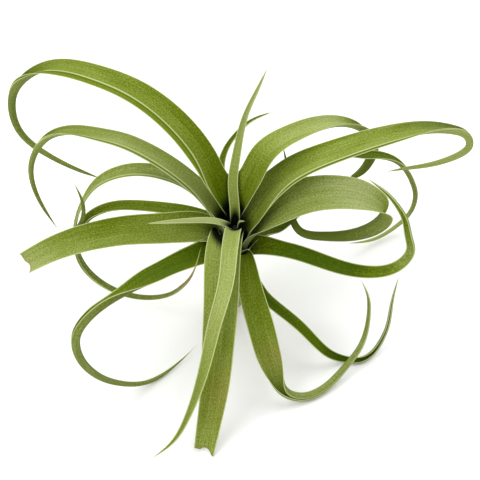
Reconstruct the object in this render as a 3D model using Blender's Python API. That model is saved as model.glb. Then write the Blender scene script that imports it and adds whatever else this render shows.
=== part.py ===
"""Curly slim air plant, as picked: a short stem that carries twenty channelled, curling leaves.

Lengths are in millimetres and angles in degrees until a mesh is made, which is in metres. The stem stands on
the origin with +Z up, and the plant's front is towards -Y.
"""

from dataclasses import dataclass

import bmesh
import bpy
import numpy as np

METRES_PER_MM = 0.001

# Stem: half its width at each height, from the flat underside to the growing tip
STEM_PROFILE = (
    (0, 5.0), (1.2, 5.8), (6, 7.4), (13, 9.6), (20, 10.2), (28, 8.9), (36, 7.4), (47, 5.6), (56, 3.6),
    (61, 2.0), (63, 0),
)
# How far the crown stands to the right of the stem's foot, and the height up to which the stem leans
CROWN_SIDE = 4.5
LEAN_HEIGHT = 34.0
STEM_SIDES = 24
STEM_MERGE = 0.001
STEM_ROUGHNESS = 0.85

# Leaf blade
BLADE_THICKNESS = 1.1
TIP_THICKNESS_SHARE = 0.33
NOTCH_START = 0.75
FOOT_WIDTH = 5.0
FOOT_CLEARANCE = 0.1
FLARE_LENGTH = 28.0
STATIONS = 26
ACROSS = (-1.0, -0.5, 0.0, 0.5, 1.0)
CURVE_SAMPLES = 600
TURN_WEIGHT = 0.6
LEAF_ROUGHNESS = 0.5

# Colours, linear
MATURE_GREEN = (0.15, 0.24, 0.035, 1.0)
YOUNG_GREEN = (0.32, 0.40, 0.16, 1.0)
DEEP_GREEN = (0.09, 0.16, 0.02, 1.0)
STEM_BROWN = (0.16, 0.10, 0.05, 1.0)


@dataclass(frozen=True)
class Leaf:
    """One leaf, whose midline runs from its foot on the stem through the points of its route.

    A route point is (out, up) or (out, up, side): from the crown's axis along the heading, above the surface,
    and to the left of the heading. width is the blade's, pressed flat. channel is the angle that the blade
    wraps through, near the foot and near the tip, and inroll is the stretch, in shares of the length, over
    which it goes from one to the other. roll holds (share of the length, degrees turned about the midline). A
    cut leaf ends at that share of its natural length, in a notch.
    """

    name: str
    heading: float
    seat: float
    width: float
    route: tuple
    taper: float = 0.75
    channel: tuple = (60, 240)
    inroll: tuple = (0.3, 0.8)
    roll: tuple = ((0, 0), (1, 0))
    cut: float = 1.0
    notch: float = 0.0
    colour: tuple = MATURE_GREEN


LEAVES = (
    Leaf(
        "upper_left_long_leaf", heading=150, seat=57, width=21, taper=0.85, inroll=(0.35, 0.7),
        route=((15.5, 100.5), (34.5, 120.3), (58, 131), (87, 133.2), (116, 128), (137, 111.5), (148, 89),
               (145, 72), (127, 62.3), (88, 59.3)),
    ),
    Leaf(
        "left_mid_leaf", heading=163, seat=54, width=15, taper=0.95, colour=YOUNG_GREEN,
        route=((16, 81), (25, 90), (35, 97), (49, 104), (62, 107.8), (76, 108.5), (90, 107.5), (104, 101),
               (114, 88), (119, 73), (117, 53), (107, 31)),
    ),
    Leaf(
        "left_back_loop_leaf", heading=170, seat=51.5, width=11, taper=1.0, inroll=(0.3, 0.6),
        route=((16, 73, -6), (28, 85, -6), (40, 91, -4.5), (51, 93.3, -2.5), (76, 82.8), (86.5, 66, 1.5),
               (91.5, 48, 4.5), (87, 30, 9.5), (73, 20.5, 15), (54, 16.5, 17.5), (36.5, 24.5, 22.5),
               (23, 44, 32.5), (13.5, 67, 41), (10, 82, 40)),
    ),
    Leaf(
        "left_back_low_leaf", heading=148, seat=47, width=9, colour=DEEP_GREEN,
        route=((17, 56.5, -3), (24, 59, -1.5), (38, 64, 8), (54, 66.5, 18.5), (66.5, 66.5, 30.5),
               (72.5, 61.5, 37.5), (74, 52, 39.5), (74, 45, 42), (76, 51, 43), (74, 60, 41),
               (71.5, 75, 40), (74, 89, 42)),
    ),
    Leaf(
        "left_notched_leaf", heading=181, seat=42, width=19, cut=0.6, notch=0.025, channel=(60, 100),
        roll=((0, 0), (0.08, 0), (0.3, 35), (1, 40)),
        route=((15, 61, 0.5), (35, 63, 1.5), (58, 62, 2), (80, 58, 3), (98, 51, 3.5), (116, 40, 4)),
    ),
    Leaf(
        "young_left_leaf", heading=190, seat=60, width=5, colour=YOUNG_GREEN,
        route=((7, 67.5, 3.8), (11.4, 70.5, 4), (30, 70, 0), (47, 68.5, -3)),
    ),
    Leaf(
        "lower_left_leaf", heading=229, seat=47, width=14, taper=1.15, inroll=(0.25, 0.55),
        roll=((0, 0), (0.25, 0), (0.42, -42), (1, -42)),
        route=((13, 52.5, 1.5), (30, 61), (58, 71), (86, 76.5), (105.5, 76.5), (115, 70.5), (116.5, 59),
               (109.5, 38), (92.5, 14), (74.5, 2.6, 4), (57.5, 1.8, 6), (37.5, 3.2, 5.5)),
    ),
    Leaf(
        "front_notched_leaf", heading=-98, seat=50, width=20, cut=0.68, notch=0.015, channel=(60, 90),
        route=((13, 66, -2), (30, 69, -2), (57, 62, 1), (73, 50, 2), (87, 31, 2), (97, 14, 0.5),
               (106, 0.3, -1)),
    ),
    Leaf(
        "front_narrow_leaf", heading=-100, seat=57, width=9, colour=YOUNG_GREEN,
        route=((11, 69, 1), (32, 74, 3), (57, 71, 5), (74, 62, 3), (85, 49, 1), (96, 35, -2),
               (103, 24, -6), (111, 14, -11.7), (118, 6, -21.5)),
    ),
    Leaf(
        "lower_right_leaf", heading=-70, seat=42, width=16, taper=1.05, inroll=(0.2, 0.5),
        route=((21, 58, -1), (43, 55, -6), (59, 44, -7), (66, 32, -6), (72, 20, -4), (76, 9),
               (78.5, 3.7, 9.5), (76.5, 3.7, 23.5), (70, 8, 38), (64, 14, 49), (53, 24, 58), (46, 32, 60),
               (40, 39, 58)),
    ),
    Leaf(
        "lower_right_back_leaf", heading=-50, seat=32, width=7.5,
        route=((15, 34, -1), (29, 36, -5), (54, 27.8), (67.5, 10, 10), (71.5, 3, 18), (76.5, 2, 24),
               (78.5, 3, 32), (78, 6.5, 38.5), (76, 14.5, 46), (72, 25, 52), (68, 37, 60)),
    ),
    Leaf(
        "right_hook_leaf", heading=-15, seat=38.5, width=12,
        route=((11, 51.5, -3.5), (33, 55.5, -4), (55, 52, -5), (77, 50.5, -4), (91, 54, 2), (95, 60, 7),
               (93, 68, 9), (90, 76, 12), (85, 84, 13), (79, 90, 14), (67, 95, 18)),
    ),
    Leaf(
        "right_arc_leaf", heading=47, seat=51, width=9,
        route=((13.5, 65, 2.5), (24, 74, -1), (41, 82, -9), (67, 84, -16.5), (80.5, 77, -20),
               (97, 68.7, -24), (112, 56.5, -27.5), (124.5, 34.5, -30.5), (127.3, 23, -31.5),
               (124, 10.5, -30.5), (114.5, 5.6, -28.5), (102, 3.2, -25.5), (78.5, 9.5, -19.5)),
    ),
    Leaf(
        "right_big_leaf", heading=21, seat=53, width=20, taper=1.0, inroll=(0.3, 0.7),
        route=((27, 90.7), (55, 98.7), (84, 101.2), (113, 98.8), (129.2, 92.6), (140.3, 83.4),
               (141.6, 78), (130, 72), (102, 73), (89, 74)),
    ),
    Leaf(
        "right_broad_loop_leaf", heading=6, seat=46, width=22, taper=1.0, inroll=(0.295, 0.69),
        roll=((0, 0), (0.04, 0), (0.177, -30), (0.344, -30), (0.492, 0)),
        route=((15, 66), (35, 80), (59, 81), (78.5, 73.5), (85, 65.5), (83, 59), (70, 50.5), (48, 50.5),
               (34, 58), (32, 62, 3), (32, 66, 18), (32.5, 75, 30), (29.5, 89.5, 38)),
    ),
    Leaf(
        "upper_right_leaf", heading=42, seat=57, width=17,
        route=((12, 93), (20, 102), (40, 104.9), (66, 99.6), (91, 85.5), (107.5, 65), (109, 58),
               (102.5, 47.5), (92, 46)),
    ),
    Leaf(
        "right_hidden_leaf", heading=26, seat=43, width=11, colour=DEEP_GREEN,
        route=((15, 51), (24, 51.5), (34, 56.5), (46, 61), (58, 62.5), (70, 61), (80, 57)),
    ),
    Leaf(
        "young_upright_leaf", heading=78, seat=60, width=6, colour=YOUNG_GREEN,
        route=((4, 74, 1), (8, 84.5, 3), (16, 96, 3), (25, 107, 2), (30, 116), (36, 126, -4),
               (41.5, 138, -8.6)),
    ),
    Leaf(
        "small_back_leaf", heading=100, seat=53, width=4,
        route=((8, 62, 1), (26, 84, 3), (35, 90, -2), (40, 94, -8), (44, 97.5, -15), (48, 100, -29)),
    ),
    Leaf(
        "centre_tip_leaf", heading=-5, seat=60.5, width=2.6, colour=YOUNG_GREEN,
        route=((3, 64), (5, 65.5)),
    ),
)


def clear_scene():
    for obj in list(bpy.data.objects):
        bpy.data.objects.remove(obj, do_unlink=True)


def make_material(name, colour, roughness):
    material = bpy.data.materials.new(name)
    material.use_nodes = True
    shader = material.node_tree.nodes["Principled BSDF"]
    shader.inputs["Base Color"].default_value = colour
    shader.inputs["Roughness"].default_value = roughness
    shader.inputs["Metallic"].default_value = 0.0
    return material


def finish_object(name, mesh_builder, material):
    """Puts a built shape, in millimetres, into the scene as a smooth-shaded object in metres."""
    mesh = bpy.data.meshes.new(name)
    bmesh.ops.scale(mesh_builder, vec=(METRES_PER_MM,) * 3, verts=mesh_builder.verts)
    mesh_builder.to_mesh(mesh)
    mesh_builder.free()
    mesh.shade_smooth()
    mesh.materials.append(material)
    obj = bpy.data.objects.new(name, mesh)
    bpy.context.scene.collection.objects.link(obj)
    return obj


def stem_radius(height):
    heights, radii = zip(*STEM_PROFILE)
    return float(np.interp(height, heights, radii))


def smoothstep(low, high, value):
    share = np.clip((value - low) / (high - low), 0.0, 1.0)
    return share * share * (3.0 - 2.0 * share)


def between_keys(keys, share):
    """Values that ease from each (share, value) key to the next."""
    keys = np.array(keys, float)
    values = np.full_like(share, keys[0, 1])
    for (start, before), (end, after) in zip(keys[:-1], keys[1:]):
        values += (after - before) * smoothstep(start, end, share)
    return values


def smooth_curve(points):
    """Close points on the natural cubic spline through these points, with the chords as its parameter."""
    knots = np.concatenate([[0.0], np.cumsum(np.linalg.norm(np.diff(points, axis=0), axis=1))])
    steps = np.diff(knots)
    slopes = np.diff(points, axis=0) / steps[:, None]
    system = np.eye(len(points))
    right = np.zeros_like(points)
    for i in range(1, len(points) - 1):
        system[i, i - 1 : i + 2] = steps[i - 1], 2.0 * (steps[i - 1] + steps[i]), steps[i]
        right[i] = 6.0 * (slopes[i] - slopes[i - 1])
    bends = np.linalg.solve(system, right)
    at = np.linspace(0.0, knots[-1], CURVE_SAMPLES)
    span = np.clip(np.searchsorted(knots, at, side="right") - 1, 0, len(steps) - 1)
    step = steps[span][:, None]
    ahead = (at - knots[span])[:, None]
    behind = step - ahead
    first, last = bends[span], bends[span + 1]
    return (
        (first * behind**3 + last * ahead**3) / (6.0 * step)
        + (points[span] / step - first * step / 6.0) * behind
        + (points[span + 1] / step - last * step / 6.0) * ahead
    )


def unit(vectors):
    return vectors / np.linalg.norm(vectors, axis=-1, keepdims=True)


def leaf_midline(leaf):
    """(points, length so far) at the leaf's stations, which lie closer together where the midline turns."""
    heading = np.radians(leaf.heading)
    out = np.array([np.cos(heading), np.sin(heading), 0.0])
    left = np.array([-np.sin(heading), np.cos(heading), 0.0])
    foot = (stem_radius(leaf.seat) + FOOT_CLEARANCE, leaf.seat)
    rows = np.array([(*point, 0.0)[:3] for point in (foot, *leaf.route)])
    dense = smooth_curve(rows[:, :1] * out + rows[:, 2:] * left + rows[:, 1:2] * (0.0, 0.0, 1.0))
    pieces = np.diff(dense, axis=0)
    lengths = np.linalg.norm(pieces, axis=1)
    along = np.concatenate([[0.0], np.cumsum(lengths)])
    turns = np.arccos(np.clip((unit(pieces)[1:] * unit(pieces)[:-1]).sum(axis=1), -1.0, 1.0))
    turned = np.concatenate([[0.0, 0.0], np.cumsum(turns)])
    measure = (1.0 - TURN_WEIGHT) * along / along[-1] + TURN_WEIGHT * turned / turned[-1]
    wanted = np.linspace(0.0, 1.0, STATIONS)
    at = np.interp(wanted, measure, along)
    points = np.stack([np.interp(at, along, dense[:, axis]) for axis in range(3)], axis=1)
    return points + (CROWN_SIDE, 0.0, 0.0), at


def leaf_frames(leaf, points):
    """Each station's across and upward directions, carried along the midline without needless twist."""
    forward = unit(np.gradient(points, axis=0))
    heading = np.radians(leaf.heading)
    across = np.empty_like(points)
    carried = np.array([np.sin(heading), -np.cos(heading), 0.0])
    for i, direction in enumerate(forward):
        carried = unit(carried - direction * (carried @ direction))
        across[i] = carried
    upward = np.cross(across, forward)
    return across, upward


def blade_stations(leaf):
    """The blade's midline points, across and upward directions, flat width and channel angle by station."""
    points, along = leaf_midline(leaf)
    share = along / along[-1]
    across, upward = leaf_frames(leaf, points)
    roll = np.radians(between_keys(leaf.roll, share))[:, None]
    turned = across * np.cos(roll) + upward * np.sin(roll)
    across, upward = turned, upward * np.cos(roll) - across * np.sin(roll)
    natural = (1.0 - (leaf.cut * share) ** 2) ** leaf.taper
    foot = min(FOOT_WIDTH / leaf.width, 1.0)
    flare = foot + (1.0 - foot) * smoothstep(0.0, FLARE_LENGTH, along)
    width = leaf.width * natural * flare
    near, far = leaf.channel
    channel = np.radians(near + (far - near) * smoothstep(*leaf.inroll, leaf.cut * share))
    return points, across, upward, width, channel


def leaf_rings(leaf):
    """A closed ring of points for every station: the upper face from margin to margin, then the lower face.

    The upper face is an arc as long as the blade is wide. Its margins are level with the midline where the
    blade is open, and where it rolls in, the arc rises until its middle is level with it. The lower face lies
    the blade's thickness outside the upper face, and thins to nothing at the margins.
    """
    points, across, upward, width, channel = blade_stations(leaf)
    places = np.array(ACROSS + ACROSS[-2:0:-1])
    lower = np.arange(len(places)) >= len(ACROSS)
    thickness = np.minimum(BLADE_THICKNESS, TIP_THICKNESS_SHARE * width)[:, None]
    radius = (width / channel)[:, None]
    angle = places * channel[:, None] / 2.0
    reach = radius + np.where(lower, thickness * (1.0 - places**2), 0.0)
    sideways = reach * np.sin(angle)
    depth = radius * (1.0 - np.cos(channel[:, None] / 2.0)) + thickness
    rolled = (channel[:, None] - channel[0]) / (channel[-1] - channel[0])
    height = radius * np.cos(channel[:, None] / 2.0) - reach * np.cos(angle) + rolled * depth / 2.0
    forward = np.cross(upward, across)
    length = np.linalg.norm(np.diff(points, axis=0), axis=1).sum()
    share = np.linspace(0.0, 1.0, STATIONS)[:, None]
    pulled = -leaf.notch * length * smoothstep(NOTCH_START, 1.0, share) * (1.0 - np.abs(places))
    return (
        points[:, None]
        + sideways[..., None] * across[:, None]
        + height[..., None] * upward[:, None]
        + pulled[..., None] * forward[:, None]
    )


def make_leaf(leaf):
    rings = leaf_rings(leaf)
    builder = bmesh.new()
    pointed = leaf.cut == 1.0
    if pointed:
        rings, tip = rings[:-1], rings[-1].mean(axis=0)
    loops = [[builder.verts.new(point) for point in ring] for ring in rings]
    around = len(loops[0])
    for near, far in zip(loops[:-1], loops[1:]):
        for i in range(around):
            j = (i + 1) % around
            builder.faces.new((near[i], near[j], far[j], far[i]))
    close_end(builder, loops[0])
    if pointed:
        end = builder.verts.new(tip)
        for i in range(around):
            builder.faces.new((loops[-1][i], loops[-1][(i + 1) % around], end))
    else:
        close_end(builder, loops[-1][::-1])
    bmesh.ops.recalc_face_normals(builder, faces=builder.faces)
    material = make_material(leaf.name, leaf.colour, LEAF_ROUGHNESS)
    return finish_object(leaf.name, builder, material)


def close_end(builder, ring):
    """Closes a blade's end with strips between its upper and lower faces, which share the margins."""
    upper = ring[: len(ACROSS)]
    lower = [ring[0], *ring[: len(ACROSS) - 2 : -1]]
    for i in range(len(ACROSS) - 1):
        corners = dict.fromkeys((upper[i], upper[i + 1], lower[i + 1], lower[i]))
        builder.faces.new(tuple(corners))


def make_stem():
    """The stem: its profile turned about the Z axis, then leant, so that the crown is to the foot's right."""
    builder = bmesh.new()
    corners = [builder.verts.new((0.0, 0.0, 0.0))]
    corners += [builder.verts.new((radius, 0.0, height)) for height, radius in STEM_PROFILE]
    edges = [builder.edges.new(pair) for pair in zip(corners[:-1], corners[1:])]
    bmesh.ops.spin(
        builder, geom=corners + edges, cent=(0, 0, 0), axis=(0, 0, 1), angle=2 * np.pi, steps=STEM_SIDES,
        use_merge=True,
    )
    bmesh.ops.remove_doubles(builder, verts=builder.verts, dist=STEM_MERGE)
    for corner in builder.verts:
        corner.co.x += CROWN_SIDE * (1.0 - max(1.0 - corner.co.z / LEAN_HEIGHT, 0.0) ** 2)
    bmesh.ops.recalc_face_normals(builder, faces=builder.faces)
    return finish_object("stem", builder, make_material("stem", STEM_BROWN, STEM_ROUGHNESS))


def main():
    clear_scene()
    make_stem()
    for leaf in LEAVES:
        make_leaf(leaf)


main()
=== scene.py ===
"""Curly slim air plant, as picked: the looks of its twenty curling leaves and of the stem that carries them.

The file is laid out as an add-on and is run as a script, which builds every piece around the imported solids.
Lengths are in millimetres and angles in degrees until a mesh is made, which is in metres. The stem stands on
the origin with +Z up, and the plant's front is towards -Y.
"""

from dataclasses import dataclass

import bmesh
import bpy
import numpy as np
from bpy.props import FloatProperty, FloatVectorProperty, PointerProperty
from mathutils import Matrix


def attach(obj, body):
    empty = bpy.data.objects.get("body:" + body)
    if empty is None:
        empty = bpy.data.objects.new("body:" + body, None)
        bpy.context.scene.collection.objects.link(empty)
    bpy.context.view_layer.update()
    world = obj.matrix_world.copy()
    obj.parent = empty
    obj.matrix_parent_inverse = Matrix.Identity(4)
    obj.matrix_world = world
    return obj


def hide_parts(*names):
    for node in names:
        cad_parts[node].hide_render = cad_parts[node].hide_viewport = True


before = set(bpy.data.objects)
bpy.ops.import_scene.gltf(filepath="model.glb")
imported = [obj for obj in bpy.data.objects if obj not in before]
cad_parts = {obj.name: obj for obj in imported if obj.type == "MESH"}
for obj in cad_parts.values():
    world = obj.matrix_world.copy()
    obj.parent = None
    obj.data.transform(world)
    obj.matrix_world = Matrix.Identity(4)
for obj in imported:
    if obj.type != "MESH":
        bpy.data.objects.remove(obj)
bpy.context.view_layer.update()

bl_info = {
    "name": "Curly slim air plant",
    "version": (1, 0, 0),
    "blender": (4, 5, 0),
    "location": "3D View > Sidebar > Air plant",
    "description": "Builds the leaves and the stem of a curly slim air plant, and a plain stage for them",
    "category": "Object",
}

METRES_PER_MM = 0.001

# Stem: half its width at each height, from the flat underside to the growing tip
STEM_PROFILE = (
    (0, 5.0), (1.2, 5.8), (6, 7.4), (13, 9.6), (20, 10.2), (28, 8.9), (36, 7.4), (47, 5.6), (56, 3.6),
    (61, 2.0), (63, 0),
)
STEM_ROWS = 240
STEM_COLUMNS = 128
STEM_INSET = 0.1
# How far the crown stands to the right of the stem's foot, and the height up to which the stem leans
CROWN_SIDE = 4.5
LEAN_HEIGHT = 34.0

# Old sheaths on the stem: how far each reaches up and to either side, and the height where they end
GOLDEN_ANGLE = np.pi * (3.0 - 5.0**0.5)
SHEATH_LENGTH = 15.0
SHEATH_REACH = 1.9
SHEATH_POWER = 1.8
SHEATHS_END = 52.0
LEAST_SHEATH = 1.0
SHEATH_FOOT_FADE = 1.0
RIM_ROUND = 0.5
RIM_WAVES = 9.0
RIM_WAVER = 0.25
RIM_TINT_STRETCH = (0.3, 1.2)
LEAST_SWELL_SHARE = 0.1
# Heights between which the sheaths and ridges swell in above the foot, and fade out below the tip
SWELL_IN = (1.0, 4.0)
SWELL_OUT = (50.0, 58.0)
# Fine ridges along the stem: their number, height, and how far and how fast they wander
RIDGES = 46.0
RIDGE_HEIGHT = 0.08
RIDGE_WANDER = (2.0, 0.7)

# Leaf mesh and midline
STATIONS = 200
AROUND = 56
CURVE_SAMPLES = 1200
TURN_WEIGHT = 0.5
TIP_THICKNESS_SHARE = 0.33
FOLD_TURN = 50.0
FOLD_ROUND = 0.16
FOLD_STRETCH = (0.08, 0.2, 0.5, 0.75)
LEAST_FOLD = 0.05
NARROWEST = 0.01
NOTCH_START = 0.75
FOOT_CLEARANCE = 0.1
FOOT_ROUND = 0.35
MARGIN_ROUNDNESS = 0.7

# Where painted shade darkens the leaf bases to black towards the crown's middle
CROWN = (CROWN_SIDE, 0.0, 62.0)
HEART_SHADE_FADE = 8.0
HEART_SHADE_HOLLOW = 5.0

# Leaf skin: repeats of each grain in a millimetre across and along. The third part sets leaves apart.
VEIN_GRAIN = (1.5, 0.02, 1.0)
STREAK_GRAIN = (0.45, 0.012, 1.0)
CLOUD_GRAIN = (0.12, 0.05, 1.0)
SPECK_GRAIN = (1.3, 0.9, 1.0)
FINE_GRAIN = (3.6, 2.6, 1.0)
# The grains' middle value, and how far each grain shifts the tone and raises the surface
NOISE_MIDDLE = 0.5
VEIN_SHIFT, STREAK_SHIFT, CLOUD_SHIFT, SPECK_SHIFT, FINE_SHIFT = 0.5, 0.25, 0.3, 1.3, 0.7
VEIN_RELIEF, SPECK_RELIEF, FINE_RELIEF = 0.8, 0.6, 0.4
# Tones of the four greens on the upper face, and those between which the lower face takes its bloom
TONE_STOPS = (0.0, 0.33, 0.66, 1.0)
BLOOM_TONES, BLOOM_SHARE = (0.1, 0.9), 0.9
YOUNG_GREYNESS = 0.25
# Millimetres from the foot over which its paleness fades, and shares of the length where the tip dries
FOOT_FADE = (2.0, 22.0)
DRY_TIP, DRY_STRENGTH = (0.985, 1.0), 0.3
# Creases: widths of strip where they start to show, and millimetres from the crease or the margin
CREASED_STRIP = (0.2, 0.6)
# Painted light along each crease: shade on the turned-down strip, a pale highlight at the crease and a shadow
# just past it
HEM_SHADE_FADE, HEM_SHADE_STRENGTH = (-0.5, 0.0), 0.55
CREASE_HIGHLIGHT_FADE, CREASE_HIGHLIGHT_STRENGTH = (0.12, 0.55), 0.7
SHADOW_PLACE, SHADOW_FADE, SHADOW_STRENGTH = -0.75, (0.1, 0.5), 0.6
MARGIN_FADE, MARGIN_WAVER, MARGIN_STRENGTH = (0.1, 0.65), 0.25, 0.85
BLUSHED_SPECKS = (0.25, 0.6)
# Roughness of the bare skin, what scales and the finest grain add, gloss, and bump depth in metres
SKIN_ROUGHNESS, SCALE_ROUGHNESS, FINE_ROUGHNESS = 0.5, 0.2, 0.12
SCALY_TONES = (0.0, 1.2)
LEAF_GLOSS = 0.04
LEAF_BUMP = 0.00012

# Stem skin: repeats of each grain in a metre, and each colour's limits and strength. Heights are shares.
FIBRE_GRAIN = (1100.0, 1100.0, 70.0)
PATCH_GRAIN = (110.0, 110.0, 60.0)
BARK_FIBRES, BARK_SHADE = (0.25, 0.75), 0.4
STRAW_PATCHES, STRAW_STRENGTH = (0.35, 0.7), 0.6
FRESH_FIBRES, FRESH_SHADE = (0.2, 0.8), 0.5
FRESH_HEIGHTS, FRESH_WAVER = (0.25, 0.6), 0.35
RIM_STRENGTH = 0.45
# Painted shade in the grooves: the swell below which it shows, and the strength of its dark bark
GROOVE_SWELL, GROOVE_SHADE = (0.0, 0.45), 0.2
# Painted shade: shares of the height over which the stem darkens to black towards the crown
HEART_SHADE_HEIGHTS = (0.72, 0.86)
STEM_ROUGHNESS, FIBRE_ROUGHNESS = 0.75, 0.3
PATCH_RELIEF = 0.4
STEM_BUMP = 0.0004

# Floor: repeats of its grain in a metre, how strong its flecks are, and their colour
FLOOR_GRAIN = (300.0, 300.0, 300.0)
FLECK_STRENGTH, FLECK_COLOUR = 0.04, (0.8, 0.8, 0.8)
FLOOR_ROUGHNESS = 0.9
FLOOR_BUMP = 0.00005

# Stage, in metres: where the lights stand, how wide they are, and the point that they face
KEY_PLACE, KEY_SIZE = (0.25, 0.75, 1.15), 2.4
FILL_PLACE, FILL_SIZE = (-0.7, -0.6, 0.9), 0.8
LIT_POINT = (0.0, 0.0, 0.065)
# Width of the camera's sensor, in millimetres
SENSOR_WIDTH = 36.0

MATURE, YOUNG, DARK = "mature_leaf", "young_leaf", "dark_leaf"


@dataclass(frozen=True)
class Leaf:
    """One leaf, whose midline runs from its foot on the stem through the points of its route.

    A route point is (out, up) or (out, up, side): from the crown's axis along the heading, above the surface,
    and to the left of the heading. width is the blade's, pressed flat. channel is the angle that the blade
    wraps through, near the foot and near the tip, and inroll is the stretch, in shares of the length, over
    which it goes from one to the other. roll holds (share of the length, degrees turned about the midline).
    A cut leaf ends at that share of its natural length, in a notch: (its depth, its middle and half its width
    as places across the blade, how much longer the right corner is than the middle). fold is how wide a strip
    of the left and of the right margin is turned down along a crease. lip is how much of the wrap is left to
    the margins. sheath is the foot's width to the left and to the right, as shares of the blade's, and how
    far along the foot reaches. heart is how far from the crown's middle painted shade keeps the foot black.
    tone holds (share of the length, tone at the left margin, tone at the right margin) from 0, deep green, to
    1, under a full cover of pale scales. The tones are partly that cover and partly painted light and shade:
    lower where a leaf, or one side of it, lies in shade or faces away from the light, and higher on bases
    that lie in the shadow of other leaves. blush holds (share of the length, how far it spreads, strength
    at the left margin, strength at the right margin) of the brown tint.
    """

    name: str
    heading: float
    seat: float
    width: float
    route: tuple
    taper: float = 0.75
    channel: tuple = (60, 240)
    inroll: tuple = (0.3, 0.8)
    roll: tuple = ((0, 0), (1, 0))
    cut: float = 1.0
    notch: tuple = (0.0, 0.0, 1.0, 0.0)
    fold: tuple = (0.0, 0.0)
    lip: float = 0.35
    sheath: tuple = (1.0, 1.0, 30.0)
    heart_shade: float = 8.0
    tone: tuple = ((0, 0.4, 0.4), (1, 0.5, 0.5))
    blush: tuple = ()
    kind: str = MATURE


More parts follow.
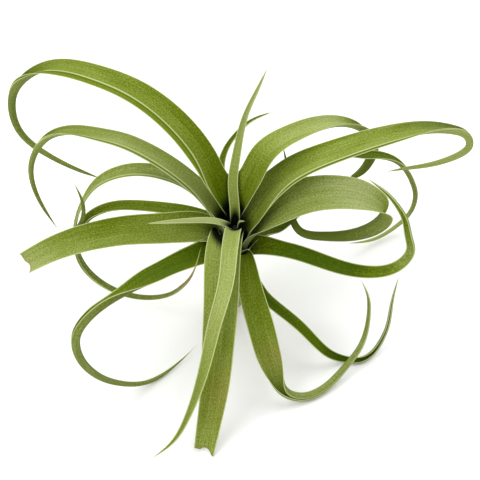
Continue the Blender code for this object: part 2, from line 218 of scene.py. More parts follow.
LEAVES = (
    Leaf(
        "upper_left_long_leaf", heading=150, seat=57, width=18.2, taper=0.85, channel=(70, 320),
        inroll=(0.46, 0.72),
        route=((15.5, 100.5), (34.5, 120.3), (58, 131), (87, 133.2), (116, 128), (137, 111.5), (148, 89),
               (145, 72), (127, 62.3), (88, 59.3)),
        fold=(3.4, 0),
        sheath=(0.05, 1.9, 40.0), heart_shade=12.0,
        tone=((0, 0.15, 0.0), (0.2, 0.46, 0.26), (0.35, 0.5, 0.35), (0.55, 0.48, 0.48), (0.7, 0.35, 0.35),
              (1, 0.3, 0.3)),
    ),
    Leaf(
        "left_mid_leaf", heading=163, seat=54, width=13.6, taper=0.95, channel=(65, 320), kind=YOUNG,
        route=((16, 81), (25, 90), (35, 97), (49, 104), (62, 107.8), (76, 108.5), (90, 107.5), (104, 101),
               (114, 88), (119, 73), (117, 53), (107, 31)),
        roll=((0, 15), (0.07, 15), (0.2, 0)), fold=(1.8, 0),
        sheath=(1.2, 2.1, 40.0), heart_shade=10.0,
        tone=((0, 0.45, 0.15), (0.17, 0.75, 0.55), (0.4, 0.8, 0.6), (0.65, 0.5, 0.5), (1, 0.45, 0.45)),
    ),
    Leaf(
        "left_back_loop_leaf", heading=170, seat=51.5, width=10.8, taper=1.1, channel=(65, 320),
        inroll=(0.4, 0.65),
        route=((16, 73, -6), (28, 85, -6), (40, 91, -4.5), (51, 93.3, -2.5), (76, 82.8), (86.5, 66, 1.5),
               (91.5, 48, 4.5), (87, 30, 9.5), (73, 20.5, 15), (54, 16.5, 17.5), (36.5, 24.5, 22.5),
               (23, 44, 32.5), (13.5, 67, 41), (10, 82, 40)),
        fold=(1.2, 0),
        sheath=(2.8, 1.2, 45.0),
        tone=((0, 0.65, 0.65), (0.2, 0.7, 0.7), (0.4, 0.62, 0.62), (0.6, 0.35, 0.35), (1, 0.3, 0.3)),
        blush=((0.9, 0.06, 0.8, 0.8),),
    ),
    Leaf(
        "left_back_low_leaf", heading=148, seat=47, width=9, channel=(60, 320), kind=DARK,
        route=((17, 56.5, -3), (24, 59, -1.5), (38, 64, 8), (54, 66.5, 18.5), (66.5, 66.5, 30.5),
               (72.5, 61.5, 37.5), (74, 52, 39.5), (74, 45, 42), (76, 51, 43), (74, 60, 41),
               (71.5, 75, 40), (74, 89, 42)),
        tone=((0, 0.15, 0.15), (0.3, 0.3, 0.35), (1, 0.3, 0.3)),
    ),
    Leaf(
        "left_notched_leaf", heading=181, seat=42, width=18, cut=0.6, notch=(1.8, -0.4, 0.6, 0.2),
        channel=(60, 90),
        roll=((0, 0), (0.08, 0), (0.3, 35), (1, 40)),
        route=((15, 61, 0.5), (35, 63, 1.5), (58, 62, 2), (80, 58, 3), (98, 51, 3.5), (116, 40, 4)),
        sheath=(1.4, 1.0, 45.0), heart_shade=2.0,
        tone=((0, 0.5, 0.4), (0.3, 0.6, 0.4), (0.6, 0.58, 0.3), (1, 0.78, 0.68)),
    ),
    Leaf(
        "young_left_leaf", heading=190, seat=60, width=5, channel=(100, 200), kind=YOUNG,
        route=((7, 67.5, 3.8), (11.4, 70.5, 4), (30, 70, 0), (47, 68.5, -3)),
        heart_shade=5.0,
        tone=((0, 0.9, 0.9), (1, 1.05, 1.05)),
    ),
    Leaf(
        "lower_left_leaf", heading=229, seat=47, width=14, taper=1.25, channel=(60, 320),
        inroll=(0.25, 0.55),
        roll=((0, 0), (0.25, 0), (0.42, -42), (1, -42)),
        route=((13, 52.5, 1.5), (30, 61), (58, 71), (86, 76.5), (105.5, 76.5), (115, 70.5), (116.5, 59),
               (109.5, 38), (92.5, 14), (74.5, 2.6, 4), (57.5, 1.8, 6), (37.5, 3.2, 5.5)),
        sheath=(2.1, 1.6, 60.0),
        tone=((0, 0.2, 0.15), (0.25, 0.15, 0.05), (0.4, 0.32, 0.32), (0.6, 0.45, 0.45), (1, 0.55, 0.55)),
    ),
    Leaf(
        "front_notched_leaf", heading=-98, seat=50, width=20, cut=0.68, taper=0.95,
        notch=(2.2, -0.15, 0.6, -1.25), channel=(60, 85),
        route=((13, 66, -2), (30, 69, -2), (57, 62, 1), (73, 50, 2), (87, 31, 2.2), (97, 14.5, 0.6),
               (106, 1.3, -0.9)),
        sheath=(1.0, 1.0, 50.0), heart_shade=20.0,
        tone=((0, 0.5, 0.6), (0.4, 0.55, 0.6), (0.75, 0.5, 0.52), (1, 0.58, 0.58)),
        blush=((0.78, 0.1, 0.3, 0.05),),
    ),
    Leaf(
        "front_narrow_leaf", heading=-100, seat=57, width=9, taper=0.85, channel=(75, 200),
        inroll=(0.5, 0.95), kind=YOUNG,
        route=((11, 69, 1), (32, 74, 3), (57, 71, 5), (74, 62, 3), (85, 49, 1), (96, 35, -2),
               (103, 24, -5.6), (111, 14, -11.2), (118, 6, -21.2)),
        heart_shade=8.0,
        tone=((0, 0.68, 0.68), (0.4, 0.7, 0.7), (0.8, 0.5, 0.5), (1, 0.45, 0.45)),
    ),
    Leaf(
        "lower_right_leaf", heading=-70, seat=42, width=15.8, taper=0.95, channel=(55, 345),
        inroll=(0.38, 0.56),
        route=((21, 58, -1), (43, 55, -6), (59, 44, -7), (66, 32, -6), (72, 20, -4), (76, 9),
               (78.5, 3.7, 9.5), (76.5, 3.7, 23.5), (70, 8, 38), (64, 14, 49), (53, 24, 58), (46, 32, 60),
               (40, 39, 58)),
        sheath=(0.35, 1.0, 75.0), heart_shade=5.0,
        tone=((0, 0.15, 0.15), (0.25, 0.36, 0.36), (0.5, 0.55, 0.55), (1, 0.45, 0.45)),
        blush=((0.42, 0.04, 0.3, 0.05),),
    ),
    Leaf(
        "lower_right_back_leaf", heading=-50, seat=32, width=7, channel=(60, 320),
        route=((15, 34, -1), (29, 36, -5), (54, 27.8), (67.5, 10, 10), (71.5, 3, 18), (76.5, 2, 24),
               (78.5, 3, 32), (78, 6.5, 38.5), (76, 14.5, 46), (72, 25, 52), (68, 37, 60)),
        tone=((0, 0.05, 0.05), (0.4, 0.15, 0.15), (0.6, 0.0, 0.0), (1, -0.1, -0.1)),
    ),
    Leaf(
        "right_hook_leaf", heading=-15, seat=38.5, width=11, channel=(60, 170),
        route=((11, 51.5, -3.5), (33, 55.5, -4), (55, 52, -5), (77, 50.5, -4), (91, 54, 2), (95, 60, 7),
               (93, 68, 9), (90, 76, 12), (85, 84, 13), (79, 90, 14), (67, 95, 18)),
        sheath=(1.9, 1.4, 35.0), heart_shade=1.0,
        tone=((0, 0.45, 0.3), (0.3, 0.0, 0.0), (0.45, 0.0, 0.0), (0.55, 0.3, 0.3), (0.66, 0.65, 0.65),
              (0.8, 0.4, 0.4), (1, 0.2, 0.2)),
    ),
    Leaf(
        "right_arc_leaf", heading=47, seat=51, width=9, channel=(60, 320),
        route=((13.5, 65, 2.5), (24, 74, -1), (41, 82, -9), (67, 84, -16.5), (80.5, 77, -20),
               (97, 68.7, -24), (112, 56.5, -27.5), (124.5, 34.5, -30.5), (127.3, 23, -31.5),
               (124, 10.5, -30.5), (114.5, 5.6, -28.5), (102, 3.2, -25.5), (78.5, 9.5, -19.5)),
        sheath=(0.7, 0.7, 30.0),
        tone=((0, 0.1, 0.1), (0.4, 0.15, 0.15), (0.7, 0.45, 0.45), (0.85, 1.0, 1.0), (1, 1.0, 1.0)),
    ),
    Leaf(
        "right_big_leaf", heading=21, seat=53, width=20, taper=1.0, channel=(60, 320), inroll=(0.4, 0.75),
        route=((27, 90.7), (55, 98.7), (84, 101.2), (113, 98.8), (129.2, 92.6), (140.3, 83.4),
               (141.6, 78), (130, 72), (102, 73), (89, 74)),
        fold=(0, 1.7),
        roll=((0, -12), (0.05, -12), (0.16, 0)),
        sheath=(2.0, 1.1, 45.0), heart_shade=5.0,
        tone=((0, 0.55, 0.4), (0.2, 0.42, 0.58), (0.5, 0.5, 0.58), (0.7, 0.8, 0.8), (1, 0.8, 0.8)),
    ),
    Leaf(
        "right_broad_loop_leaf", heading=6, seat=46, width=22.5, taper=1.15, channel=(65, 320),
        inroll=(0.3, 0.7),
        roll=((0, 0), (0.04, 0), (0.18, -30), (0.35, -30), (0.5, 0)),
        route=((15, 66), (35, 80), (59, 81), (78.5, 73.5), (85, 65.5), (83, 59), (70, 50.5), (48, 50.5),
               (34, 58), (32, 62, 3), (32, 66, 18), (32.5, 75, 30), (29.5, 89.5, 38)),
        sheath=(1.0, 1.0, 50.0), heart_shade=2.0,
        tone=((0, 0.55, 0.65), (0.2, 0.58, 0.68), (0.38, 0.86, 0.86), (0.5, 0.5, 0.5), (0.7, -0.1, -0.1),
              (1, 0.3, 0.3)),
    ),
    Leaf(
        "upper_right_leaf", heading=42, seat=57, width=16.5, taper=0.4, channel=(60, 180),
        route=((12, 93), (20, 102), (40, 104.9), (66, 99.6), (91, 85.5), (107.5, 65), (109, 58),
               (102.5, 47.5), (92, 46)),
        sheath=(2.0, 0.05, 40.0), heart_shade=10.0,
        tone=((0, 0.2, 0.2), (0.2, 0.38, 0.38), (0.35, 0.62, 0.62), (0.6, 0.8, 0.8), (0.8, 0.2, 0.2),
              (1, 0.12, 0.12)),
    ),
    Leaf(
        "right_hidden_leaf", heading=26, seat=43, width=11, kind=DARK,
        route=((15, 51), (24, 51.5), (34, 56.5), (46, 61), (58, 62.5), (70, 61), (80, 57)),
        sheath=(1.0, 1.7, 55.0),
        tone=((0, 0.3, 0.1), (1, 0.3, 0.3)),
    ),
    Leaf(
        "young_upright_leaf", heading=78, seat=60, width=6, channel=(110, 200), kind=YOUNG,
        route=((4, 74, 1), (8, 84.5, 3), (16, 96, 3), (25, 107, 2), (30, 116), (36, 126, -4),
               (41.5, 138, -8.6)),
        heart_shade=6.0,
        tone=((0, 0.5, 0.5), (0.3, 0.6, 0.6), (1, 0.9, 0.9)),
    ),
    Leaf(
        "small_back_leaf", heading=100, seat=53, width=4.5, taper=0.6, kind=DARK,
        route=((8, 62, 1), (26, 84, 3), (35, 90, -2), (40, 94, -8), (44, 97.5, -15), (48, 100, -29)),
        tone=((0, 0.3, 0.3), (1, 0.4, 0.4)),
    ),
    Leaf(
        "centre_tip_leaf", heading=-5, seat=60.5, width=2.6, kind=YOUNG,
        route=((3, 64), (5, 65.5)),
        heart_shade=2.0,
        tone=((0, 0.8, 0.8), (1, 1.0, 1.0)),
    ),
)


def colour_property(name, description, default):
    """A linear colour that a user can change."""
    return FloatVectorProperty(name=name, description=description, subtype="COLOR", default=default)


class BladeSizes(bpy.types.PropertyGroup):
    """Sizes that every leaf shares, in millimetres unless the description says otherwise."""

    thickness: FloatProperty(
        name="Thickness", description="Blade thickness along its middle, in millimetres",
        default=0.8, min=0.2,
    )
    sheath_wrap: FloatProperty(
        name="Sheath wrap", description="Angle that the foot wraps round the stem, in degrees",
        default=130.0,
    )


class LeafColours(bpy.types.PropertyGroup):
    """Linear colours of the leaves."""

    # Deep green is also the colour of painted shade: the lowest tones and the crease shadows mix towards it
    deep: colour_property("Deep green", "Bare tissue in a deep channel", (0.040, 0.078, 0.0))
    leaf: colour_property("Leaf green", "Bare tissue of a full-grown leaf", (0.115, 0.161, 0.002))
    dusted: colour_property("Dusted green", "Tissue under thin scales", (0.238, 0.296, 0.055))
    scurf: colour_property("Scurf", "The pale scales that cover a leaf", (0.415, 0.46, 0.21))
    underside: colour_property("Underside", "The lower face", (0.10, 0.135, 0.016))
    bloom: colour_property("Bloom", "Pale streaks on the lower face", (0.31, 0.36, 0.105))
    margin: colour_property("Margin", "The thin, dry edge of a leaf", (0.52, 0.58, 0.26))
    blush: colour_property("Blush", "The brown tint of an ageing patch", (0.36, 0.20, 0.07))
    foot: colour_property("Foot", "The pale outside of a leaf's foot", (0.22, 0.26, 0.10))
    # Painted shade: a near black that stands in for the shade deep among the leaf bases, on the leaves and on
    # the stem's top
    heart_shade: colour_property("Heart", "The dark insides of the leaf bases", (0.002, 0.005, 0.001))


class StemLooks(bpy.types.PropertyGroup):
    """Shape and colours of the stem."""

    sheath_pitch: FloatProperty(
        name="Sheath pitch", description="Height from each sheath's foot to the next, in millimetres",
        default=2.4, min=1.0,
    )
    sheath_depth: FloatProperty(
        name="Sheath depth", description="How far a sheath's rim stands out, in millimetres",
        default=1.3, min=0.1,
    )
    bark: colour_property("Bark", "Dry brown of the oldest sheaths", (0.20, 0.13, 0.06))
    straw: colour_property("Straw", "Papery rims of the sheaths", (0.50, 0.42, 0.26))
    fresh: colour_property("Fresh", "Pale green of the younger sheaths", (0.24, 0.27, 0.12))


class StageSizes(bpy.types.PropertyGroup):
    """Floor, camera and lights."""

    floor_side: FloatProperty(
        name="Floor side", description="Side of the square floor", default=6.0, unit="LENGTH", min=1.0
    )
    floor_colour: colour_property("Floor colour", "Plain pale floor", (0.96, 0.96, 0.96))
    camera_height: FloatProperty(
        name="Camera height", description="Height of the camera over the floor",
        default=0.46728, unit="LENGTH",
    )
    camera_distance: FloatProperty(
        name="Camera distance", description="How far the camera stands in front of the stem",
        default=0.46131, unit="LENGTH",
    )
    camera_side: FloatProperty(
        name="Camera side", description="How far the camera stands to the right of the stem",
        default=0.0072, unit="LENGTH",
    )
    camera_elevation: FloatProperty(
        name="Camera elevation", description="How steeply the camera looks down", default=np.radians(42.0),
        subtype="ANGLE", unit="ROTATION",
    )
    lens: FloatProperty(name="Lens", description="Focal length", default=85.0, unit="CAMERA")
    key_power: FloatProperty(name="Key light", description="Its power", default=21.0, unit="POWER")
    fill_power: FloatProperty(name="Fill light", description="Its power", default=6.0, unit="POWER")
    sky: FloatProperty(name="Sky", description="Strength of the white surroundings", default=0.75)


def smoothstep(low, high, value):
    """0 up to low, 1 from high on, and three times the share's square less twice its cube between them."""
    share = np.clip((value - low) / (high - low), 0.0, 1.0)
    return share * share * (3.0 - 2.0 * share)


def between_keys(keys, share):
    """Values that ease from each (share, value) key to the next."""
    keys = np.array(keys, float)
    values = np.full_like(share, keys[0, 1])
    for (start, before), (end, after) in zip(keys[:-1], keys[1:]):
        values += (after - before) * smoothstep(start, end, share)
    return values


def unit(vectors):
    """Vectors divided by their lengths."""
    return vectors / np.linalg.norm(vectors, axis=-1, keepdims=True)


def stem_radius(height):
    """Half the stem's width at a height, on straight lines between the points of its profile."""
    heights, radii = zip(*STEM_PROFILE)
    return np.interp(height, heights, radii)


def stem_side(height):
    """How far to the right of the foot the stem's middle lies at a height.

    It is the crown's distance, times 1 less the squared share of the leaning height that is still to come.
    """
    return CROWN_SIDE * (1.0 - np.clip(1.0 - height / LEAN_HEIGHT, 0.0, 1.0) ** 2)


def smooth_curve(points):
    """Close points on the natural cubic spline through these points, with the chords as its parameter."""
    knots = np.concatenate([[0.0], np.cumsum(np.linalg.norm(np.diff(points, axis=0), axis=1))])
    steps = np.diff(knots)
    slopes = np.diff(points, axis=0) / steps[:, None]
    system = np.eye(len(points))
    right = np.zeros_like(points)
    for i in range(1, len(points) - 1):
        system[i, i - 1 : i + 2] = steps[i - 1], 2.0 * (steps[i - 1] + steps[i]), steps[i]
        right[i] = 6.0 * (slopes[i] - slopes[i - 1])
    bends = np.linalg.solve(system, right)
    at = np.linspace(0.0, knots[-1], CURVE_SAMPLES)
    span = np.clip(np.searchsorted(knots, at, side="right") - 1, 0, len(steps) - 1)
    step = steps[span][:, None]
    ahead = (at - knots[span])[:, None]
    behind = step - ahead
    first, last = bends[span], bends[span + 1]
    return (
        (first * behind**3 + last * ahead**3) / (6.0 * step)
        + (points[span] / step - first * step / 6.0) * behind
        + (points[span + 1] / step - last * step / 6.0) * ahead
    )


def leaf_midline(leaf):
    """(points, length so far) at the leaf's stations, which lie closer together where the midline turns.

    They are evenly spaced in a weighted mean of the share of the length and the share of all turning so far.
    """
    heading = np.radians(leaf.heading)
    out = np.array([np.cos(heading), np.sin(heading), 0.0])
    left = np.array([-np.sin(heading), np.cos(heading), 0.0])
    foot = (stem_radius(leaf.seat) + FOOT_CLEARANCE, leaf.seat)
    rows = np.array([(*point, 0.0)[:3] for point in (foot, *leaf.route)])
    dense = smooth_curve(rows[:, :1] * out + rows[:, 2:] * left + rows[:, 1:2] * (0.0, 0.0, 1.0))
    pieces = np.diff(dense, axis=0)
    along = np.concatenate([[0.0], np.cumsum(np.linalg.norm(pieces, axis=1))])
    turns = np.arccos(np.clip((unit(pieces)[1:] * unit(pieces)[:-1]).sum(axis=1), -1.0, 1.0))
    turned = np.concatenate([[0.0, 0.0], np.cumsum(turns)])
    measure = (1.0 - TURN_WEIGHT) * along / along[-1] + TURN_WEIGHT * turned / turned[-1]
    at = np.interp(np.linspace(0.0, 1.0, STATIONS), measure, along)
    points = np.stack([np.interp(at, along, dense[:, axis]) for axis in range(3)], axis=1)
    return points + (CROWN_SIDE, 0.0, 0.0), at


def leaf_frames(leaf, points):
    """Each station's forward, across and upward directions.

    Across is the last station's, less its part along the midline, which carries it on without needless twist.
    """
    forward = unit(np.gradient(points, axis=0))
    heading = np.radians(leaf.heading)
    across = np.empty_like(points)
    carried = np.array([np.sin(heading), -np.cos(heading), 0.0])
    for i, direction in enumerate(forward):
        carried = unit(carried - direction * (carried @ direction))
        across[i] = carried
    return forward, across, np.cross(across, forward)


def leaf_surface(leaf, sizes):
    """A closed ring of points for every station, and the values that the leaf's material reads at each point.

    The width is the leaf's times a power of 1 less the squared share of the natural length, plus a third of
    the thickness times the channel's angle. Across the blade, the turning angle at a place from -1 to 1 is
    half the channel's angle times that place, less at the middle and more towards the margins by the leaf's
    lip. Past a crease it falls by the fold's angle. The mid-surface is the running sum of steps in that
    direction, which widen to each side's sheath at the foot. Its middle hangs below the midline by the
    channel's sag and half the thickness, by half the sag where the margins are rolled in, and lies half the
    thickness above it at the foot. The faces lie to each side, at half the thickness times a power of 1 less
    the place squared. At the foot the points are pulled forward by the place squared, and in a notch back by
    1 less the squared distance from its middle. The brown tint is a bell curve along the leaf.
    """
    points, along = leaf_midline(leaf)
    forward, across, upward = leaf_frames(leaf, points)
    share = along / along[-1]
    roll = np.radians(between_keys(leaf.roll, share))[:, None]
    rolled_across = across * np.cos(roll) + upward * np.sin(roll)
    across, upward = rolled_across, upward * np.cos(roll) - across * np.sin(roll)

    left_foot, right_foot, foot_length = leaf.sheath
    sheath = 1.0 - smoothstep(0.0, foot_length, along)
    natural = (1.0 - (leaf.cut * share) ** 2) ** leaf.taper
    width = leaf.width * natural
    mean_foot = 1.0 + ((left_foot + right_foot) / 2.0 - 1.0) * sheath
    near, far = leaf.channel
    rolled = smoothstep(*leaf.inroll, leaf.cut * share)
    channel = np.radians(near + (far - near) * rolled + (sizes.sheath_wrap - near) * sheath)
    thickness = np.minimum(sizes.thickness, TIP_THICKNESS_SHARE * width)
    sag = width * mean_foot / channel * (1.0 - np.cos(channel / 2.0))
    keel = (sag + thickness) * (rolled / 2.0 + sheath) - sag - thickness / 2.0
    width = width + channel * thickness / 3.0

    half = AROUND // 2
    place = -np.cos(np.linspace(0.0, np.pi, half + 1))
    between = (place[1:] + place[:-1]) / 2.0
    lip = (leaf.lip * (1.0 - rolled) * (1.0 - sheath))[:, None]

    starts, full, ends, gone = FOLD_STRETCH
    folded = smoothstep(starts, full, share) * (1.0 - smoothstep(ends, gone, share))

    def fold_width(at):
        """Width of the turned-down strip on a place's side, which swells in and fades out along the leaf."""
        return np.where(at > 0.0, leaf.fold[1], leaf.fold[0]) * folded[:, None]

    def turning(at):
        """The blade's turning angle at a place, in radians."""
        strip = fold_width(at)
        crease = 1.0 - 2.0 * strip / np.maximum(width[:, None], NARROWEST)
        turned = smoothstep(crease - FOLD_ROUND / 2.0, crease + FOLD_ROUND / 2.0, np.abs(at))
        turned = turned * (strip > LEAST_FOLD)
        wrapped = channel[:, None] / 2.0 * (at + lip * (at**3 - at))
        return wrapped - np.radians(FOLD_TURN) * turned * np.sign(at)

    foot = 1.0 + (np.where(between > 0.0, right_foot, left_foot) - 1.0) * sheath[:, None]
    step = width[:, None] / 2.0 * np.diff(place) * foot
    start = np.zeros((STATIONS, 1))
    sideways = np.concatenate([start, np.cumsum(np.cos(turning(between)) * step, axis=1)], axis=1)
    height = np.concatenate([start, np.cumsum(np.sin(turning(between)) * step, axis=1)], axis=1)
    sideways -= sideways[:, half // 2, None]
    height += (keel - height[:, half // 2])[:, None]

    lens = thickness[:, None] / 2.0 * (1.0 - place**2) ** (MARGIN_ROUNDNESS / 2.0)
    angle = turning(place)
    faces = []
    for side in (1.0, -1.0):
        x = sideways - side * lens * np.sin(angle)
        y = height + side * lens * np.cos(angle)
        faces.append(np.stack([x, y], axis=-1))
    section = np.concatenate([faces[0], faces[1][:, -2:0:-1]], axis=1)
    places = np.concatenate([place, place[-2:0:-1]])
    underside = np.arange(AROUND) > half

    depth, middle, reach, longer = leaf.notch
    dent = np.clip(1.0 - ((places - middle) / reach) ** 2, 0.0, 1.0)
    pulled = smoothstep(NOTCH_START, 1.0, share)[:, None] * (longer * places - depth * dent)
    pulled += FOOT_ROUND * leaf.width * places**2 * (1.0 - smoothstep(0.0, foot_length / 2.0, along))[:, None]
    surface = (
        points[:, None]
        + section[..., :1] * across[:, None]
        + section[..., 1:] * upward[:, None]
        + pulled[..., None] * forward[:, None]
    )

    right = (places + 1.0) / 2.0
    left_tone = between_keys([key[:2] for key in leaf.tone], share)[:, None]
    right_tone = between_keys([key[::2] for key in leaf.tone], share)[:, None]
    tone = left_tone * (1.0 - right) + right_tone * right
    blush = np.zeros_like(tone)
    for centre, spread, left_strength, right_strength in leaf.blush:
        strength = left_strength * (1.0 - right) + right_strength * right
        blush += np.exp(-(((share - centre) / spread) ** 2))[:, None] * strength
    # Painted shade near the crown: black close to its middle, reaching further out along the middle of the
    # blade than at the margins
    away = np.linalg.norm(surface - CROWN, axis=-1) - HEART_SHADE_HOLLOW * (1.0 - places**2)
    heart_shade = 1.0 - smoothstep(leaf.heart_shade - HEART_SHADE_HOLLOW, leaf.heart_shade - HEART_SHADE_HOLLOW + HEART_SHADE_FADE, away)
    half_width = width[:, None] / 2.0
    whole = np.ones((STATIONS, AROUND))
    margin = (1.0 - np.abs(places)) * half_width
    values = {
        "blade": np.stack([places * half_width, along[:, None] * whole, leaf.seat * whole], axis=-1),
        "face": np.stack([margin, share[:, None] * whole, underside * whole], axis=-1),
        "looks": np.stack([tone, blush, heart_shade], axis=-1),
        "crease": fold_width(places)[..., None] * (1.0, 0.0, 0.0),
    }
    return surface, values


def ring_faces(rows, columns):
    """Quads that join each ring of points to the next."""
    ring = np.arange(columns)
    start = (np.arange(rows - 1) * columns)[:, None]
    near, beside = start + ring, start + np.roll(ring, -1)
    return np.stack([near, beside, beside + columns, near + columns], axis=-1).reshape(-1, 4).tolist()


def fan_faces(ring, pole):
    """Triangles from a ring of points to one point."""
    return np.stack([ring, np.roll(ring, -1), np.full_like(ring, pole)], axis=-1).tolist()


def strip_faces(ring):
    """Faces that close a flat ring across its thickness, from one margin to the other."""
    half = len(ring) // 2
    upper, lower = ring[: half + 1], np.roll(ring[::-1], 1)[: half + 1]
    quads = np.stack([upper[1:-2], upper[2:-1], lower[2:-1], lower[1:-2]], axis=-1).tolist()
    ends = [[upper[0], upper[1], lower[1]], [upper[-2], upper[-1], lower[-2]]]
    return quads + np.array(ends).tolist()


def add_piece(name, points, faces, values, material, node):
    """Puts a mesh, given in millimetres, into the scene in place of the CAD node it stands for."""
    mesh = bpy.data.meshes.new(name)
    mesh.from_pydata((points * METRES_PER_MM).tolist(), [], faces)
    for label, rows in values.items():
        attribute = mesh.attributes.new(label, "FLOAT_VECTOR", "POINT")
        attribute.data.foreach_set("vector", rows.astype(np.float32).ravel())
    builder = bmesh.new()
    builder.from_mesh(mesh)
    bmesh.ops.recalc_face_normals(builder, faces=builder.faces)
    builder.to_mesh(mesh)
    builder.free()
    mesh.shade_smooth()
    mesh.materials.append(material)
    piece = bpy.data.objects.new(name, mesh)
    bpy.context.scene.collection.objects.link(piece)
    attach(piece, "root")
    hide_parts(node)


def make_leaf(leaf, material, sizes):
    """One leaf's blade: its rings joined, closed across the foot, and closed at a point or across the cut."""
    surface, values = leaf_surface(leaf, sizes)
    pointed = leaf.cut == 1.0
    rows = STATIONS - 1 if pointed else STATIONS
    first_ring = np.arange(AROUND)
    last_ring = first_ring + (rows - 1) * AROUND
    points = surface[:rows].reshape(-1, 3)
    values = {label: kept[:rows].reshape(-1, 3) for label, kept in values.items()}
    faces = ring_faces(rows, AROUND) + strip_faces(first_ring)
    if pointed:
        points = np.concatenate([points, surface[-1].mean(axis=0)[None]])
        values = {label: np.concatenate([kept, kept[-1:]]) for label, kept in values.items()}
        faces += fan_faces(last_ring, len(points) - 1)
    else:
        faces += strip_faces(last_ring)
    add_piece(leaf.name + "_blade", points, faces, values, material, leaf.name)


class Value:
    """A shader socket that takes part in Python expressions, where each operator adds a Math node."""

    def __init__(self, shader, socket):
        self.shader = shader
        self.socket = socket

    def math(self, operation, first, second=None):
        """A Math node's result."""
        sockets = {0: first} if second is None else {0: first, 1: second}
        return self.shader.add("ShaderNodeMath", {"operation": operation}, sockets)

    def __add__(self, other):
        return self.math("ADD", self, other)

    def __sub__(self, other):
        return self.math("SUBTRACT", self, other)

    def __rsub__(self, other):
        return self.math("SUBTRACT", other, self)

    def __mul__(self, other):
        return self.math("MULTIPLY", self, other)

    def size(self):
        """The value without its sign."""
        return self.math("ABSOLUTE", self)

    __radd__ = __add__
    __rmul__ = __mul__


class Shader:
    """One material and the ways to add nodes to it."""

    def __init__(self, name):
        self.material = bpy.data.materials.new(name)
        self.material.use_nodes = True
        self.tree = self.material.node_tree
        self.principled = self.tree.nodes["Principled BSDF"]

    def add(self, node_type, settings=None, sockets=None, output=0):
        """Adds a node, sets its settings and then its sockets, and gives one of its outputs."""
        node = self.tree.nodes.new(node_type)
        for name, value in (settings or {}).items():
            setattr(node, name, value)
        for key, value in (sockets or {}).items():
            self.set(node.inputs[key], value)
        return Value(self, node.outputs[output])

    def set(self, socket, value):
        """Links a value to a socket, or sets the socket to a number, colour or vector."""
        if isinstance(value, Value):
            self.tree.links.new(value.socket, socket)
        else:
            socket.default_value = value

    def attribute(self, name):
        """The vector that a piece's mesh holds under a name."""
        return self.add("ShaderNodeAttribute", {"attribute_name": name}, output="Vector")

    def parts(self, vector):
        """A vector's three numbers."""
        first = self.add("ShaderNodeSeparateXYZ", {}, {0: vector})
        return [Value(self, socket) for socket in first.socket.node.outputs]

    def stretched(self, vector, scale):
        """A vector times a scale, part by part."""
        return self.add("ShaderNodeVectorMath", {"operation": "MULTIPLY"}, {0: vector, 1: scale})

    def noise(self, vector, scale, detail=2.0, roughness=0.5):
        """Noise from 0 to 1 over a vector whose parts are scaled first."""
        place = self.stretched(vector, scale)
        sockets = {"Vector": place, "Scale": 1.0, "Detail": detail, "Roughness": roughness}
        return self.add("ShaderNodeTexNoise", {}, sockets)

    def ramp(self, value, stops):
        """The colour at a value from 0 to 1, between stops of (place, colour)."""
        colour = self.add("ShaderNodeValToRGB", {}, {"Fac": value})
        elements = colour.socket.node.color_ramp.elements
        for _ in stops[2:]:
            elements.new(0.5)
        for element, (place, shade) in zip(elements, stops):
            element.position = place
            element.color = opaque(shade)
        return colour

    def eased(self, value, low, high):
        """0 where the value is low or less, 1 where it is high or more, and eased between."""
        settings = {"interpolation_type": "SMOOTHSTEP"}
        return self.add("ShaderNodeMapRange", settings, {"Value": value, "From Min": low, "From Max": high})

    def mix(self, factor, first, second):
        """The first colour at a factor of 0, the second at 1, and their mix between."""
        settings = {"data_type": "RGBA", "clamp_factor": True}
        return self.add("ShaderNodeMix", settings, {0: factor, 6: first, 7: second}, output=2)

    def finish(self, colour, roughness, height, depth, **constants):
        """Feeds colour, roughness and a bump, its depth in metres, to the shader and gives the material."""
        bump = self.add("ShaderNodeBump", {}, {"Strength": 1.0, "Distance": depth, "Height": height})
        self.set(self.principled.inputs["Base Color"], colour)
        self.set(self.principled.inputs["Roughness"], roughness)
        self.set(self.principled.inputs["Normal"], bump)
        for name, value in constants.items():
            self.principled.inputs[name.replace("_", " ")].default_value = value
        return self.material


def opaque(colour, strength=1.0):
    """A colour times a strength, with full alpha."""
    return (*(strength * part for part in colour), 1.0)


